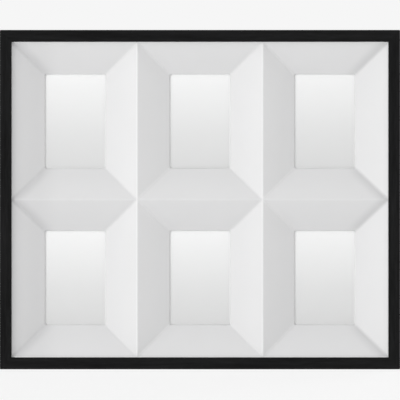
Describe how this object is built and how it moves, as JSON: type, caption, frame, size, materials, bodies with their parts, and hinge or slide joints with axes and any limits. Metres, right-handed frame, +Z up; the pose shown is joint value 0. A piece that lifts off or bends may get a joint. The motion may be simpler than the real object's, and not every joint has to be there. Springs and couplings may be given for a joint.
{
  "type": "collage photo frame",
  "caption": "Rectangular black wall frame round a white moulded mat whose sloping facets lead to a grid of glazed photo windows, loaded from behind and held by turn buttons.",
  "frame": {"origin": "middle of the underside of the bottom rail, halfway through the overall depth", "axes": "+X along the width to the right as seen from the front, +Y through the depth towards the wall, +Z up"},
  "size_m": [0.594, 0.0474, 0.503],
  "materials": {
    "black_wood": "satin black paint",
    "white_plastic": "matt",
    "pane_glass": "clear",
    "insert_paper": "matt",
    "hardboard": "bare",
    "steel": "zinc plated",
    "bumper_rubber": "matt"
  },
  "bodies": {
    "frame": {"top_rail": "black_wood", "bottom_rail": "black_wood", "left_rail": "black_wood", "right_rail": "black_wood", "corner_nails": "steel", "faceted_mat": "white_plastic", "mat_screws": "steel", "pane_1": "pane_glass", "photo_insert_1": "insert_paper", "backer_1": "hardboard", "pane_2": "pane_glass", "photo_insert_2": "insert_paper", "backer_2": "hardboard", "pane_3": "pane_glass", "photo_insert_3": "insert_paper", "backer_3": "hardboard", "pane_4": "pane_glass", "photo_insert_4": "insert_paper", "backer_4": "hardboard", "pane_5": "pane_glass", "photo_insert_5": "insert_paper", "backer_5": "hardboard", "pane_6": "pane_glass", "photo_insert_6": "insert_paper", "backer_6": "hardboard", "button_screws": "steel", "hanger_strap_left": "steel", "hanger_strap_right": "steel", "hanger_screws": "steel", "wall_bumper_left": "bumper_rubber", "wall_bumper_right": "bumper_rubber"},
    "turn_button_1_left": {"turn_button_1_left": "steel"},
    "turn_button_1_right": {"turn_button_1_right": "steel"},
    "turn_button_2_left": {"turn_button_2_left": "steel"},
    "turn_button_2_right": {"turn_button_2_right": "steel"},
    "turn_button_3_left": {"turn_button_3_left": "steel"},
    "turn_button_3_right": {"turn_button_3_right": "steel"},
    "turn_button_4_left": {"turn_button_4_left": "steel"},
    "turn_button_4_right": {"turn_button_4_right": "steel"},
    "turn_button_5_left": {"turn_button_5_left": "steel"},
    "turn_button_5_right": {"turn_button_5_right": "steel"},
    "turn_button_6_left": {"turn_button_6_left": "steel"},
    "turn_button_6_right": {"turn_button_6_right": "steel"},
    "hanger_ring_left": {"hanger_ring_left": "steel"},
    "hanger_ring_right": {"hanger_ring_right": "steel"}
  },
  "joints": [
    {"name": "turn_1_left", "type": "hinge", "parent": "frame", "child": "turn_button_1_left", "pos_m": [-0.2443, 0.01275, 0.3685], "axis": [0, 1, 0], "continuous": true},
    {"name": "turn_1_right", "type": "hinge", "parent": "frame", "child": "turn_button_1_right", "pos_m": [-0.1283, 0.01275, 0.3685], "axis": [0, 1, 0], "continuous": true},
    {"name": "turn_2_left", "type": "hinge", "parent": "frame", "child": "turn_button_2_left", "pos_m": [-0.058, 0.01275, 0.3685], "axis": [0, 1, 0], "continuous": true},
    {"name": "turn_2_right", "type": "hinge", "parent": "frame", "child": "turn_button_2_right", "pos_m": [0.058, 0.01275, 0.3685], "axis": [0, 1, 0], "continuous": true},
    {"name": "turn_3_left", "type": "hinge", "parent": "frame", "child": "turn_button_3_left", "pos_m": [0.1283, 0.01275, 0.3685], "axis": [0, 1, 0], "continuous": true},
    {"name": "turn_3_right", "type": "hinge", "parent": "frame", "child": "turn_button_3_right", "pos_m": [0.2443, 0.01275, 0.3685], "axis": [0, 1, 0], "continuous": true},
    {"name": "turn_4_left", "type": "hinge", "parent": "frame", "child": "turn_button_4_left", "pos_m": [-0.2443, 0.01275, 0.1345], "axis": [0, 1, 0], "continuous": true},
    {"name": "turn_4_right", "type": "hinge", "parent": "frame", "child": "turn_button_4_right", "pos_m": [-0.1283, 0.01275, 0.1345], "axis": [0, 1, 0], "continuous": true},
    {"name": "turn_5_left", "type": "hinge", "parent": "frame", "child": "turn_button_5_left", "pos_m": [-0.058, 0.01275, 0.1345], "axis": [0, 1, 0], "continuous": true},
    {"name": "turn_5_right", "type": "hinge", "parent": "frame", "child": "turn_button_5_right", "pos_m": [0.058, 0.01275, 0.1345], "axis": [0, 1, 0], "continuous": true},
    {"name": "turn_6_left", "type": "hinge", "parent": "frame", "child": "turn_button_6_left", "pos_m": [0.1283, 0.01275, 0.1345], "axis": [0, 1, 0], "continuous": true},
    {"name": "turn_6_right", "type": "hinge", "parent": "frame", "child": "turn_button_6_right", "pos_m": [0.2443, 0.01275, 0.1345], "axis": [0, 1, 0], "continuous": true},
    {"name": "ring_swing_left", "type": "hinge", "parent": "frame", "child": "hanger_ring_left", "pos_m": [-0.2907, 0.02075, 0.393], "axis": [1, 0, 0], "range_deg": [0, 180]},
    {"name": "ring_swing_right", "type": "hinge", "parent": "frame", "child": "hanger_ring_right", "pos_m": [0.2907, 0.02075, 0.393], "axis": [1, 0, 0], "range_deg": [0, 180]}
  ]
}
